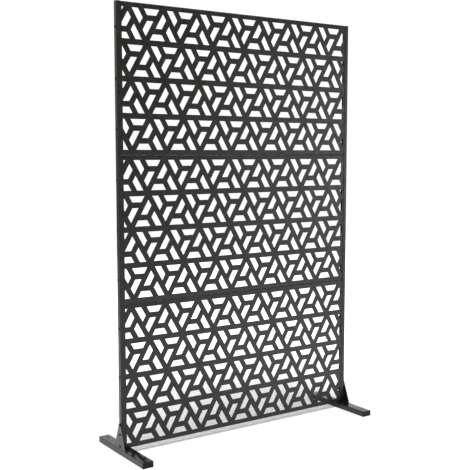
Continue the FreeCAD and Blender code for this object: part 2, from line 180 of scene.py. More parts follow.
class Recipe(Tree):
    """A Geometry Nodes tree with named inputs."""

    def __init__(self, name: str, inputs: dict[str, str]) -> None:
        """Starts a tree with a geometry input, further inputs and a geometry output.

        Args:
            name: The tree's name.
            inputs: Kind of socket for each further input's name.
        """
        super().__init__(bpy.data.node_groups.new(name, "GeometryNodeTree"))
        face = self.tree.interface
        face.new_socket("Geometry", in_out="INPUT", socket_type="NodeSocketGeometry")
        self.identifiers = {
            key: face.new_socket(key, in_out="INPUT", socket_type=f"NodeSocket{kind}").identifier
            for key, kind in inputs.items()
        }
        face.new_socket("Geometry", in_out="OUTPUT", socket_type="NodeSocketGeometry")
        self.given = self.add("NodeGroupInput").outputs

    def lay(self, points: Socket, piece: Socket, **settings: Any) -> Socket:
        """Sets a piece at every point, with further inputs such as Scale."""
        inputs = {"Points": points, "Instance": piece, **settings}
        return self.add("GeometryNodeInstanceOnPoints", inputs).outputs[0]

    def real(self, geometry: Socket) -> Socket:
        """Makes instances real."""
        return self.add("GeometryNodeRealizeInstances", {0: geometry}).outputs[0]

    def cut(self, body: Socket, *tools: Socket) -> Socket:
        """Cuts tools out of a body.

        Args:
            body: The mesh that is cut.
            tools: The meshes taken out of it.

        Returns:
            What is left of the body.
        """
        inputs = {"Mesh 1": body}
        node = self.add("GeometryNodeMeshBoolean", inputs, operation="DIFFERENCE", solver="EXACT")
        for tool in tools:
            self.feed(node.inputs["Mesh 2"], tool)
        return node.outputs[0]

    def common(self, *meshes: Socket) -> Socket:
        """Keeps what meshes have in common.

        Args:
            meshes: The meshes to lay over each other.

        Returns:
            The part that lies in all of them.
        """
        node = self.add("GeometryNodeMeshBoolean", operation="INTERSECT", solver="EXACT")
        for mesh in meshes:
            self.feed(node.inputs["Mesh 2"], mesh)
        return node.outputs[0]

    def close(self, geometry: Socket, material: Socket) -> None:
        """Ends the tree: instances become real and take their material.

        Args:
            geometry: What the tree made.
            material: The input that holds its finish.
        """
        inputs = {"Geometry": self.real(geometry), "Material": material}
        painted = self.add("GeometryNodeSetMaterial", inputs)
        self.add("NodeGroupOutput", {0: painted.outputs[0]})

    def run(self, base: bpy.types.Object, **values: Any) -> bpy.types.Mesh:
        """Runs the tree on an object.

        Args:
            base: Object that carries the modifier and gives the geometry input.
            values: The inputs' values, by name with underscores for spaces.

        Returns:
            The result as a plain mesh.
        """
        modifier = base.modifiers.new(self.tree.name, "NODES")
        modifier.node_group = self.tree
        for key, value in values.items():
            modifier[self.identifiers[key.replace("_", " ")]] = value
        graph = bpy.context.evaluated_depsgraph_get()
        graph.update()
        mesh = bpy.data.meshes.new_from_object(base.evaluated_get(graph))
        base.modifiers.remove(modifier)
        return mesh


def shown(name: str, mesh: bpy.types.Mesh) -> bpy.types.Object:
    """Links a mesh into the scene as an object at the origin.

    Args:
        name: The object's name.
        mesh: Its mesh.

    Returns:
        The new object.
    """
    item = bpy.data.objects.new(name, mesh)
    bpy.context.scene.collection.objects.link(item)
    return item


def carrier(name: str, points: list[Triple] | None = None) -> bpy.types.Object:
    """Makes a helper object that carries a tree.

    Args:
        name: The object's name.
        points: Loose points for the tree, where it needs them.

    Returns:
        The helper object.
    """
    mesh = bpy.data.meshes.new(name)
    mesh.from_pydata(points or [], [], [])
    return shown(name, mesh)


def from_bmesh(name: str, shape: bmesh.types.BMesh) -> bpy.types.Object:
    """Turns a finished edit mesh into an object.

    Args:
        name: The object's name.
        shape: The edit mesh, which is freed.

    Returns:
        The new object.
    """
    mesh = bpy.data.meshes.new(name)
    shape.to_mesh(mesh)
    shape.free()
    return shown(name, mesh)


def loft(shape: bmesh.types.BMesh, rings: list[Ring]) -> None:
    """Stitches rings of corners into a closed skin, its two ends included.

    Args:
        shape: The edit mesh that holds the corners.
        rings: Rings with the same number of corners, in order.
    """
    for ring, following in zip(rings, rings[1:]):
        for index, corner in enumerate(ring):
            after = (index + 1) % len(ring)
            shape.faces.new((corner, ring[after], following[after], following[index]))
    shape.faces.new(rings[0][::-1])
    shape.faces.new(rings[-1])


def round_edges(
    shape: bmesh.types.BMesh, edges: list[bmesh.types.BMEdge], radius: float, steps: int
) -> None:
    """Rounds edges of an edit mesh by a radius, in steps."""
    bmesh.ops.bevel(shape, geom=edges, offset=radius, segments=steps, profile=0.5, affect="EDGES")


def block(shape: bmesh.types.BMesh, size: Triple, middle: Vector) -> None:
    """Adds a block to an edit mesh.

    Args:
        shape: The edit mesh.
        size: The block's sizes along X, Y and Z.
        middle: Its middle.
    """
    matrix = Matrix.Translation(middle) @ Matrix.Diagonal((*size, 1))
    bmesh.ops.create_cube(shape, size=1.0, matrix=matrix)


def discard(*items: bpy.types.Object) -> None:
    """Removes helper objects that were only needed to make others."""
    for item in items:
        bpy.data.objects.remove(item)


def smooth(mesh: bpy.types.Mesh, degrees: float) -> None:
    """Shades a mesh smooth up to an angle between its faces."""
    mesh.shade_smooth()
    mesh.set_sharp_from_angle(angle=math.radians(degrees))


def soften(item: bpy.types.Object, width: float, segments: int = 2, degrees: float = 40.0) -> None:
    """Rounds the sharp edges of a piece a little.

    Args:
        item: The piece.
        width: Width of the rounding.
        segments: Steps across it.
        degrees: Angle between two faces from which their edge counts as sharp.
    """
    bevel = item.modifiers.new("edge_break", "BEVEL")
    bevel.width = width
    bevel.segments = segments
    bevel.limit_method = "ANGLE"
    bevel.angle_limit = math.radians(degrees)


def place(item: bpy.types.Object, node: str | None = None) -> bpy.types.Object:
    """Lets a piece ride with the screen and stand for a node.

    Args:
        item: The finished piece.
        node: Node that it replaces, if any.

    Returns:
        The same piece.
    """
    if node:
        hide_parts(node)
    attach(item, BODY)
    report(item)
    return item


def report(item: bpy.types.Object) -> None:
    """Logs a finished piece."""
    LOG.info("%s: %d faces", item.name, len(item.data.polygons))


@dataclass(frozen=True)
class Finish:
    """What the finishes share: two tones that run into each other, and a span of roughness."""

    name: str
    tones: tuple[Colour, Colour]
    roughness: Span

    def build(self) -> bpy.types.Material:
        """Returns the finish as a material."""
        surface = Surface(self.name)
        return surface.show(surface.add("ShaderNodeBsdfPrincipled", self.look(surface)))

    def look(self, surface: Surface) -> dict[str, Any]:
        """Returns the shader's inputs: each finish has its own way."""
        raise NotImplementedError

    def paint(self, surface: Surface, share: Socket, pattern: Socket) -> dict[str, Any]:
        """Mixes the tones by a share and spreads the roughness over a pattern."""
        gloss = surface.span(pattern, NOISE_SPAN, self.roughness)
        return {"Base Color": surface.blend(share, *self.tones), "Roughness": gloss}


@dataclass(frozen=True)
class PowderCoat(Finish):
    """A baked powder coat: fine orange peel, and a tone and gloss that drift a little."""

    specular: float
    peel_depth: float
    peel_strength: float = 0.35
    peel_per_metre: float = 420.0
    flecks_per_metre: float = 840.0
    fleck_share: float = 0.3
    fleck_detail: float = 1.0
    drift_per_metre: float = 5.0
    drift_detail: float = 4.0
    patches_per_metre: float = 60.0
    patch_detail: float = 5.0

    def look(self, surface: Surface) -> dict[str, Any]:
        """Lays the coat on.

        Args:
            surface: The material's nodes.

        Returns:
            The shader's inputs.
        """
        drift = surface.noise(self.drift_per_metre, self.drift_detail)
        fleck = surface.noise(self.flecks_per_metre, self.fleck_detail)
        parts = ((drift, 1 - self.fleck_share), (fleck, self.fleck_share))
        share = surface.math("ADD", *(surface.math("MULTIPLY", *part) for part in parts))
        patches = surface.noise(self.patches_per_metre, self.patch_detail)
        peel = surface.noise(self.peel_per_metre)
        return {
            **self.paint(surface, share, patches),
            "Normal": surface.relief(peel, self.peel_strength, self.peel_depth),
            "Specular IOR Level": self.specular,
        }


@dataclass(frozen=True)
class MouldedPlastic(Finish):
    """Black moulded plastic with a fine spark-eroded grain."""

    specular: float
    grain_depth: float
    grain_strength: float = 0.3
    grain_per_metre: float = 1400.0
    clouds_per_metre: float = 60.0
    cloud_detail: float = 3.0

    def look(self, surface: Surface) -> dict[str, Any]:
        """Gives the moulding its clouds and grain.

        Args:
            surface: The material's nodes.

        Returns:
            The shader's inputs.
        """
        cloud = surface.noise(self.clouds_per_metre, self.cloud_detail)
        inputs = {"Vector": surface.spot, "Scale": self.grain_per_metre}
        grain = surface.add("ShaderNodeTexVoronoi", inputs).outputs["Distance"]
        return {
            **self.paint(surface, cloud, cloud),
            "Normal": surface.relief(grain, self.grain_strength, self.grain_depth),
            "Specular IOR Level": self.specular,
        }


@dataclass(frozen=True)
class BlackenedSteel(Finish):
    """Black-coated steel of the fasteners, slightly worn to metal where it is handled."""

    metal: float
    wear_per_metre: float = 420.0
    wear_detail: float = 5.0
    wear_span: Span = (0.55, 0.8)
    most_wear: float = 0.6

    def look(self, surface: Surface) -> dict[str, Any]:
        """Blackens the steel and wears it.

        Args:
            surface: The material's nodes.

        Returns:
            The shader's inputs.
        """
        wear = surface.noise(self.wear_per_metre, self.wear_detail)
        share = surface.span(wear, self.wear_span, (0.0, self.most_wear))
        return {**self.paint(surface, share, wear), "Metallic": self.metal}


@dataclass
class LatticePanel:
    """A shallow folded tray whose face is cut into a lattice of pinwheel triangles. Metres."""

    coat: bpy.types.Material
    width: float = 1.207
    height: float = 0.600
    depth: float = 0.018
    sheet: float = 0.0012
    bend: float = 0.0035
    bend_steps: int = 6
    edge_break: float = 0.00025
    crease_degrees: float = 30.0
    side_margin: float = 0.0235
    edge_line: float = 0.009
    rows: int = 4
    lead_columns: int = 2
    cell: float = 0.160
    lean: float = 0.0047
    first_corner: float = 0.0243
    bar: float = 0.0234
    arm_share: float = 1 / 3
    smallest_area: float = 2.2e-4
    foot: float = 0.025

    @property
    def limit(self) -> float:
        """Half the width of the field of openings."""
        return self.width / 2 - self.side_margin

    @property
    def row_height(self) -> float:
        """Height of one row of triangles."""
        return (self.height - 2 * self.edge_line) / self.rows

    @property
    def columns(self) -> int:
        """Pairs of triangles laid out in a row, those that start left of the field included."""
        return math.ceil(2 * self.limit / self.cell) + self.lead_columns + 1

    def tray(self) -> bpy.types.Object:
        """Folds the sheet.

        Returns:
            The tray before it is cut, its middle at the origin.
        """
        shape = bmesh.new()
        block(shape, (self.width, self.depth, self.height), Vector())
        front = [edge for edge in shape.edges if all(corner.co.y < 0 for corner in edge.verts)]
        level = [edge for edge in front if edge.verts[0].co.x != edge.verts[1].co.x]
        round_edges(shape, level, self.bend, self.bend_steps)
        back = [face for face in shape.faces if face.normal.y > 0.9]
        bmesh.ops.delete(shape, geom=back, context="FACES_ONLY")
        tray = from_bmesh("tray", shape)
        wall = tray.modifiers.new("wall", "SOLIDIFY")
        wall.thickness = self.sheet
        wall.offset = -1
        wall.use_even_offset = True
        return tray

    def stamp(self) -> bpy.types.Object:
        """Makes the punches for one hanging and one standing triangle.

        Returns:
            The punches, with the hanging triangle's left corner at the origin.
        """
        slant = self.row_height / math.sqrt(3)
        side = self.cell / 2 + slant
        hanging = [Vector(), Vector((side, 0, 0)), Vector((side / 2, 0, -side * math.sqrt(3) / 2))]
        shared_bar = Vector((side - slant / 2, 0, -self.row_height / 2))
        shape = bmesh.new()
        for triangle in (hanging, [shared_bar * 2 - point for point in hanging]):
            middle = sum(triangle, Vector()) / 3
            for index, tip in enumerate(triangle):
                before, after = triangle[index - 1], triangle[(index + 1) % 3]
                arms = tip.lerp(before, 1 - self.arm_share), tip.lerp(after, self.arm_share)
                self.punch(shape, self.inset([tip, arms[0], middle, arms[1]]))
        bmesh.ops.recalc_face_normals(shape, faces=shape.faces)
        return from_bmesh("lattice_stamp", shape)

    def inset(self, corners: list[Vector]) -> list[Vector]:
        """Moves the sides of a cell inwards by half a bar.

        Args:
            corners: The cell's corners, in order.

        Returns:
            The corners of the opening.
        """
        middle = sum(corners, Vector()) / len(corners)
        lines = []
        for index, start in enumerate(corners):
            along = (corners[(index + 1) % len(corners)] - start).normalized()
            inward = Vector((along.z, 0, -along.x))
            if inward.dot(middle - start) < 0:
                inward.negate()
            lines.append((start + inward * self.bar / 2, along))
        moved = []
        for index, (point, along) in enumerate(lines):
            before, before_along = lines[index - 1]
            across = Vector((along.z, 0, -along.x))
            share = (point - before).dot(across) / before_along.dot(across)
            moved.append(before + before_along * share)
        return moved

    def punch(self, shape: bmesh.types.BMesh, outline: list[Vector]) -> None:
        """Adds a closed prism over an outline, through the panel's face and no deeper than its fold."""
        reach = Vector((0, self.depth / 4, 0))
        loft(shape, [[shape.verts.new(point + way) for point in outline] for way in (-reach, reach)])

    def recipe(self) -> Recipe:
        """Plans the cutting.

        Returns:
            The tree that lays the punches out in rows and cuts them from the tray.
        """
        plan = Recipe("lattice_cut", {
            "Stamp": "Object", "Columns": "Int", "Lead": "Int", "Rows": "Int", "Cell": "Float",
            "Row Height": "Float", "Lean": "Float", "First": "Float", "Top": "Float", "Limit": "Float",
            "Face": "Float", "Smallest": "Float", "Coat": "Material",
        })
        given = plan.given
        number = plan.add("GeometryNodeInputIndex").outputs[0]
        row = plan.math("FLOOR", plan.math("DIVIDE", number, given["Columns"]))
        step = plan.math("SUBTRACT", plan.math("MODULO", number, given["Columns"]), given["Lead"])
        column = plan.math("ADD", step, plan.math("MULTIPLY", plan.math("MODULO", row, 2.0), 0.5))
        x = plan.math("MULTIPLY_ADD", column, given["Cell"], given["First"])
        x = plan.math("MULTIPLY_ADD", row, given["Lean"], x)
        z = plan.math("SUBTRACT", given["Top"], plan.math("MULTIPLY", row, given["Row Height"]))
        spot = plan.vector(X=x, Y=given["Face"], Z=z)
        count = plan.math("MULTIPLY", given["Columns"], given["Rows"])
        points = plan.add("GeometryNodePoints", {"Count": count, "Position": spot}).outputs[0]
        stamp = plan.add("GeometryNodeObjectInfo", {"Object": given["Stamp"]}).outputs["Geometry"]
        size = plan.vector(X=plan.math("MULTIPLY", given["Limit"], 2.0), Y=1.0, Z=1.0)
        window = plan.add("GeometryNodeMeshCube", {"Size": size}).outputs[0]
        punches = plan.common(plan.real(plan.lay(points, stamp)), window)
        island = plan.add("GeometryNodeInputMeshIsland").outputs["Island Index"]
        area = plan.add("GeometryNodeInputMeshFaceArea").outputs[0]
        total = plan.add("GeometryNodeAccumulateField", {"Value": area, "Group ID": island}, domain="FACE")
        sliver = plan.math("LESS_THAN", total.outputs["Total"], given["Smallest"])
        choice = {"Geometry": punches, "Selection": sliver}
        kept = plan.add("GeometryNodeDeleteGeometry", choice, domain="FACE").outputs[0]
        plan.close(plan.cut(given["Geometry"], kept), given["Coat"])
        return plan

    def build(self) -> list[bpy.types.Object]:
        """Cuts one panel and stacks three of it.

        Returns:
            The panels.
        """
        tray, stamp = self.tray(), self.stamp()
        mesh = self.recipe().run(
            tray, Stamp=stamp, Columns=self.columns, Lead=self.lead_columns, Rows=self.rows, Cell=self.cell,
            Row_Height=self.row_height, Lean=self.lean, First=self.first_corner - self.limit,
            Top=self.height / 2 - self.edge_line, Limit=self.limit, Face=-self.depth / 2,
            Smallest=self.smallest_area, Coat=self.coat,
        )
        discard(tray, stamp)
        panels = []
        for level in Level:
            copy = mesh.copy()
            middle = self.foot + self.height * (level.value + 0.5)
            copy.transform(Matrix.Translation((0, 0, middle)))
            smooth(copy, self.crease_degrees)
            panel = shown(f"{level.word}_lattice", copy)
            soften(panel, self.edge_break, segments=1)
            panels.append(place(panel, f"{level.word}_panel"))
        return panels


@dataclass
class Uprights:
    """The two channels that grip the panels' side edges: the drawing's own folded shapes, coated."""

    coat: bpy.types.Material

    def build(self) -> list[bpy.types.Object]:
        """Dresses the uprights of both sides.

        Returns:
            The uprights.
        """
        pieces = []
        for side in Side:
            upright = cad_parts[f"{side.word}_upright"]
            upright.data.materials.clear()
            upright.data.materials.append(self.coat)
            report(upright)
            pieces.append(upright)
        return pieces


@dataclass
class FootTube:
    """A rounded rectangular tube with floor anchor holes and two plugged ends. Metres."""

    coat: bpy.types.Material
    plastic: bpy.types.Material
    width: float = 0.048
    height: float = 0.025
    length: float = 0.392
    wall: float = 0.002
    corner: float = 0.003
    corner_steps: int = 6
    edge_break: float = 0.0003
    crease_degrees: float = 30.0
    cap: float = 0.003
    cap_crown: float = 0.0025
    crown_steps: int = 5
    cap_crease_degrees: float = 35.0
    plug: float = 0.014
    plug_play: float = 0.0004
    anchor: float = 0.010
    anchor_sides: int = 40
    anchor_spacing: float = 0.322
    middle: float = 0.584

    def bar(self, plan: Recipe, reach: Socket, inset: Socket | float, corner: Socket) -> Socket:
        """Sweeps the rounded section into a solid bar.

        Args:
            plan: The tree that the bar is part of.
            reach: Half the bar's length.
            inset: How much narrower and lower it is than the tube.
            corner: Radius of its corners.

        Returns:
            The bar's mesh.
        """
        ends = {"Start": plan.vector(Y=plan.math("MULTIPLY", reach, -1.0)), "End": plan.vector(Y=reach)}
        line = plan.add("GeometryNodeCurvePrimitiveLine", ends).outputs[0]
        sizes = {key: plan.math("SUBTRACT", plan.given[key], inset) for key in ("Width", "Height")}
        outline = plan.add("GeometryNodeCurvePrimitiveQuadrilateral", sizes).outputs[0]
        fillet = {0: outline, "Count": self.corner_steps, "Radius": corner}
        section = plan.add("GeometryNodeFilletCurve", fillet, mode="POLY").outputs[0]
        return plan.add("GeometryNodeCurveToMesh", {0: line, 1: section, "Fill Caps": True}).outputs[0]

    def recipe(self) -> Recipe:
        """Plans the tube.

        Returns:
            The tree that sweeps the section, hollows it and drills the anchor holes.
        """
        plan = Recipe("drilled_tube", {
            "Width": "Float", "Height": "Float", "Length": "Float", "Wall": "Float", "Corner": "Float",
            "Anchor": "Float", "Spacing": "Float", "Coat": "Material",
        })
        given = plan.given
        half = plan.math("DIVIDE", given["Length"], 2.0)
        outer = self.bar(plan, half, 0.0, given["Corner"])
        walls = plan.math("MULTIPLY", given["Wall"], 2.0)
        past_the_ends = plan.math("MULTIPLY", half, 1.1)
        inner = self.bar(plan, past_the_ends, walls, plan.math("MULTIPLY", given["Corner"], 0.5))
        first = plan.vector(Y=plan.math("MULTIPLY", given["Spacing"], -0.5))
        row = {"Count": 2, "Start Location": first, "Offset": plan.vector(Y=given["Spacing"])}
        places = plan.add("GeometryNodeMeshLine", row, mode="OFFSET").outputs[0]
        drill = plan.add("GeometryNodeMeshCylinder", {
            "Vertices": self.anchor_sides, "Radius": plan.math("DIVIDE", given["Anchor"], 2.0),
            "Depth": plan.math("MULTIPLY", given["Height"], 2.0),
        }).outputs[0]
        drills = plan.real(plan.lay(places, drill))
        plan.close(plan.cut(outer, inner, drills), given["Coat"])
        return plan

    def end_plug(self) -> bpy.types.Object:
        """Makes the plug of a front end, its plate rounded and crowned.

        Returns:
            The plug, with the middle of its plate's face at the origin.
        """
        shape = bmesh.new()
        block(shape, (self.width, self.cap, self.height), Vector((0, self.cap / 2, 0)))
        through = [e for e in shape.edges if abs(e.verts[0].co.y - e.verts[1].co.y) > self.cap / 2]
        round_edges(shape, through, self.corner, self.corner_steps)
        rim = [e for e in shape.edges if all(v.co.y < self.cap / 4 for v in e.verts)]
        round_edges(shape, rim, self.cap_crown, self.crown_steps)
        less = 2 * self.wall + self.plug_play
        middle = Vector((0, self.cap + self.plug / 2, 0))
        block(shape, (self.width - less, self.plug, self.height - less), middle)
        bmesh.ops.recalc_face_normals(shape, faces=shape.faces)
        return from_bmesh("end_plug", shape)

    def build(self) -> list[bpy.types.Object]:
        """Builds both feet with their end plugs.

        Returns:
            The tubes and plugs.
        """
        base = carrier("tube_carrier")
        tube = self.recipe().run(
            base, Width=self.width, Height=self.height, Length=self.length - 2 * self.cap, Wall=self.wall,
            Corner=self.corner, Anchor=self.anchor, Spacing=self.anchor_spacing, Coat=self.coat,
        )
        plug = self.end_plug()
        pieces = []
        for side in Side:
            spot = Vector((side.value * self.middle, 0, self.height / 2))
            mesh = tube.copy()
            mesh.transform(Matrix.Translation(spot))
            smooth(mesh, self.crease_degrees)
            foot = shown(f"{side.word}_tube", mesh)
            soften(foot, self.edge_break)
            pieces.append(place(foot, f"{side.word}_foot"))
            for end in End:
                mesh = plug.data.copy()
                turn = Matrix.Rotation(0 if end is End.FRONT else math.pi, 4, "Z")
                reach = Vector((0, end.value * self.length / 2, 0))
                mesh.transform(Matrix.Translation(spot + reach) @ turn)
                smooth(mesh, self.cap_crease_degrees)
                mesh.materials.append(self.plastic)
                cap = shown(f"{side.word}_{end.word}_plug", mesh)
                pieces.append(place(cap, f"{side.word}_{end.word}_foot_cap"))
        discard(base, plug)
        return pieces


@dataclass
class Bracket:
    """A triangular plate with a rounded tip, welded to the foot along its inner base. Metres."""

    coat: bpy.types.Material
    plate: float = 0.003
    base: float = 0.093
    tip_height: float = 0.100
    tip_radius: float = 0.008
    tip_steps: int = 18
    edge_break: float = 0.0004
    crease_degrees: float = 30.0
    inner: float = 0.605
    foot: float = 0.025
    weld_start: float = 0.0127
    weld_length: float = 0.030
    weld_leg: float = 0.003
    ripples: int = 16
    ripple_sides: int = 14
    ripple_rings: int = 8
    smallest_ripple: Triple = (0.82, 0.72, 0.82)
    largest_ripple: Triple = (1.0, 0.86, 1.0)
    ripple_seed: int = 4
    weld_crease_degrees: float = 60.0

    def outline(self) -> list[Span]:
        """Draws the plate from the side.

        Returns:
            Its corners as depth and height above the foot.
        """
        half = self.base / 2
        slope = math.atan2(self.tip_height, half)
        turn = math.acos(self.tip_radius / math.hypot(half, self.tip_height)) - slope
        sweep = math.pi - 2 * turn
        angles = [turn + sweep * step / self.tip_steps for step in range(self.tip_steps + 1)]
        radius, height = self.tip_radius, self.tip_height
        tip = [(radius * math.cos(angle), height + radius * math.sin(angle)) for angle in angles]
        return [(-half, 0.0), (half, 0.0), *tip]

    def plate_mesh(self, side: Side) -> bpy.types.Object:
        """Makes the bare plate of one side.

        Args:
            side: The end of the screen that it belongs to.

        Returns:
            The plate in its place.
        """
        shape = bmesh.new()
        faces = [side.value * reach for reach in (self.inner, self.inner + self.plate)]
        outline = [(y, self.foot + z) for y, z in self.outline()]
        loft(shape, [[shape.verts.new((x, y, z)) for y, z in outline] for x in faces])
        bmesh.ops.recalc_face_normals(shape, faces=shape.faces)
        return from_bmesh(f"{side.word}_bracket_plate", shape)

    def recipe(self) -> Recipe:
        """Plans a weld bead.

        Returns:
            The tree that lays its overlapping ripples along a line.
        """
        kinds = {"Start": "Vector", "Step": "Vector", "Count": "Int", "Leg": "Float", "Coat": "Material"}
        plan = Recipe("weld_bead", kinds)
        given = plan.given
        row = {"Count": given["Count"], "Start Location": given["Start"], "Offset": given["Step"]}
        line = plan.add("GeometryNodeMeshLine", row, mode="OFFSET").outputs[0]
        ball = {"Segments": self.ripple_sides, "Rings": self.ripple_rings, "Radius": given["Leg"]}
        drop = plan.add("GeometryNodeMeshUVSphere", ball).outputs[0]
        draw = {0: self.smallest_ripple, 1: self.largest_ripple, "Seed": self.ripple_seed}
        wobble = plan.add("FunctionNodeRandomValue", draw, data_type="FLOAT_VECTOR").outputs[0]
        plan.close(plan.lay(line, drop, Scale=wobble), given["Coat"])
        return plan

    def build(self) -> list[bpy.types.Object]:
        """Builds both brackets with their weld beads.

        Returns:
            The plates and beads.
        """
        plan = self.recipe()
        step = (self.weld_length - 2 * self.weld_leg) / (self.ripples - 1)
        pieces = []
        for side in Side:
            plate = self.plate_mesh(side)
            plate.data.materials.append(self.coat)
            smooth(plate.data, self.crease_degrees)
            soften(plate, self.edge_break)
            pieces.append(place(plate, f"{side.word}_bracket"))
            for end in End:
                base = carrier("bead_carrier")
                first = end.value * (self.weld_start + self.weld_leg)
                start = Vector((side.value * self.inner, first, self.foot))
                mesh = plan.run(
                    base, Start=start, Step=Vector((0, end.value * step, 0)), Count=self.ripples,
                    Leg=self.weld_leg, Coat=self.coat,
                )
                discard(base)
                smooth(mesh, self.weld_crease_degrees)
                pieces.append(place(shown(f"{side.word}_{end.word}_weld", mesh)))
        return pieces


@dataclass
class Fasteners:
    """Hexagon-head screws, bolts and nuts along both sides. Metres, and shares of other sizes."""

    steel: bpy.types.Material
    shank: float = 0.0048
    core_share: float = 0.86
    point_share: float = 0.8
    thread_pitch: float = 0.0008
    crest_share: float = 0.5
    root_share: float = 0.98
    thread_sides: int = 12
    tail: float = 0.003
    flats: float = 0.008
    head: float = 0.0035
    face_share: float = 0.95
    chamfer_share: float = 0.6
    collar: float = 0.0007
    collar_share: float = 1.08
    collar_taper: float = 0.96
    nut: float = 0.004
    sides: int = 24
    crease_degrees: float = 35.0
    sheets: float = 0.0027
    plate: float = 0.003
    upright_outer: float = 0.605
    bracket_outer: float = 0.608
    nut_seat: float = 0.6023
    first_screw: float = 0.325
    screw_step: float = 0.2
    screws: int = 8
    bolt_heights: Triple = (0.036, 0.085, 0.125)
    turn_seed: int = 7

    def ring(self, shape: bmesh.types.BMesh, x: float, radii: list[float]) -> Ring:
        """Adds a ring of corners about X.

        Args:
            shape: The edit mesh that it joins.
            x: Its place along X.
            radii: The radius of each corner.

        Returns:
            The ring.
        """
        angles = [2 * math.pi * index / len(radii) for index in range(len(radii))]
        return [
            shape.verts.new((x, radius * math.cos(angle), radius * math.sin(angle)))
            for angle, radius in zip(angles, radii)
        ]

    def lathe(self, shape: bmesh.types.BMesh, profile: list[Span], sides: int) -> None:
        """Adds a closed turned shape about X from its profile of places along X and radii."""
        loft(shape, [self.ring(shape, x, [radius] * sides) for x, radius in profile])

    def hexagon(self, shape: bmesh.types.BMesh, start: float, end: float) -> None:
        """Adds a hexagon about X with a turned chamfer at its start.

        Args:
            shape: The edit mesh that it joins.
            start: Where it starts along X.
            end: Where it ends along X.
        """
        half, sixth = self.flats / 2, math.pi / 3
        angles = [2 * math.pi * index / self.sides for index in range(self.sides)]
        full = [half / math.cos((angle + sixth / 2) % sixth - sixth / 2) for angle in angles]
        face = [half * self.face_share] * self.sides
        chamfer = (self.flats / math.sqrt(3) - half) * self.chamfer_share
        rings = ((start, face), (start + chamfer, full), (end, full))
        loft(shape, [self.ring(shape, x, radii) for x, radii in rings])

    def bolt(self, held: float) -> bpy.types.Object:
        """Makes a screw or bolt along +X, its seat at the origin.

        Args:
            held: Thickness of what it holds.

        Returns:
            The threaded piece.
        """
        shape = bmesh.new()
        self.hexagon(shape, -self.head, -self.collar)
        wide = self.flats / math.sqrt(3) * self.collar_share
        collar = [(-self.collar, wide * self.collar_taper), (-self.collar / 2, wide), (0.0, wide)]
        self.lathe(shape, collar, self.sides)
        crest = self.shank / 2
        core = crest * self.core_share
        end = held + self.tail
        thread = [(0.0, core)]
        pitch = self.thread_pitch
        for turn in range(int(end / pitch)):
            thread.append((turn * pitch + pitch * self.crest_share, crest))
            thread.append((turn * pitch + pitch * self.root_share, core))
        thread.append((end, core * self.point_share))
        self.lathe(shape, thread, self.thread_sides)
        bmesh.ops.recalc_face_normals(shape, faces=shape.faces)
        return from_bmesh("screw", shape)

    def nut_piece(self) -> bpy.types.Object:
        """Makes a nut along +X.

        Returns:
            The nut, its chamfered face at the origin and its seat at its far end.
        """
        shape = bmesh.new()
        self.hexagon(shape, 0.0, self.nut)
        bmesh.ops.recalc_face_normals(shape, faces=shape.faces)
        return from_bmesh("nut", shape)

    def recipe(self) -> Recipe:
        """Plans a row of fasteners.

        Returns:
            The tree that sets one at every point, each turned at random about its axis.
        """
        plan = Recipe("fastener_row", {"Piece": "Object", "Way": "Float", "Steel": "Material"})
        given = plan.given
        piece = plan.add("GeometryNodeObjectInfo", {"Object": given["Piece"]}).outputs["Geometry"]
        draw = {2: 0.0, 3: 2 * math.pi, "Seed": self.turn_seed}
        spin = plan.add("FunctionNodeRandomValue", draw, data_type="FLOAT").outputs[1]
        turn = plan.vector(X=spin, Z=given["Way"])
        plan.close(plan.lay(given["Geometry"], piece, Rotation=turn), given["Steel"])
        return plan

    def build(self) -> list[bpy.types.Object]:
        """Sets the screws, bolts and nuts of both sides.

        Returns:
            One set of each kind for each side.
        """
        screw, nut = self.bolt(self.sheets), self.nut_piece()
        bolt = self.bolt(self.sheets + self.plate + self.nut)
        screw_heights = [self.first_screw + self.screw_step * step for step in range(self.screws)]
        rows = (
            ("panel_screws", screw, self.upright_outer, screw_heights, 0.0),
            ("bracket_bolts", bolt, self.bracket_outer, self.bolt_heights, 0.0),
            ("bracket_nuts", nut, self.nut_seat - self.nut, self.bolt_heights, math.pi),
        )
        plan = self.recipe()
        pieces = []
        for side in Side:
            inward = 0.0 if side is Side.LEFT else math.pi
            for word, piece, seat, heights, turn in rows:
                base = carrier("places", [(side.value * seat, 0, height) for height in heights])
                mesh = plan.run(base, Piece=piece, Way=inward + turn, Steel=self.steel)
                discard(base)
                smooth(mesh, self.crease_degrees)
                item = shown(f"{side.word}_{word}_set", mesh)
                pieces.append(place(item, f"{side.word}_{word}"))
        discard(screw, bolt, nut)
        return pieces


@dataclass(frozen=True)
class SoftBox:
    """A soft box that hangs at a spot and points at a place. Metres and watts."""

    name: str
    spot: Triple
    aim: Triple
    size: Span
    watts: float
    sheen_only: bool = False

    def build(self) -> None:
        """Hangs the lamp. One for sheen only throws no shadow on the floor."""
        light = bpy.data.lights.new(self.name, "AREA")
        light.shape = "RECTANGLE"
        light.size, light.size_y = self.size
        light.energy = self.watts
        item = bpy.data.objects.new(self.name, light)
        item.location = self.spot
        way = Vector(self.aim) - Vector(self.spot)
        item.rotation_euler = way.to_track_quat("-Z", "Y").to_euler()
        item.visible_diffuse = not self.sheen_only
        bpy.context.scene.collection.objects.link(item)


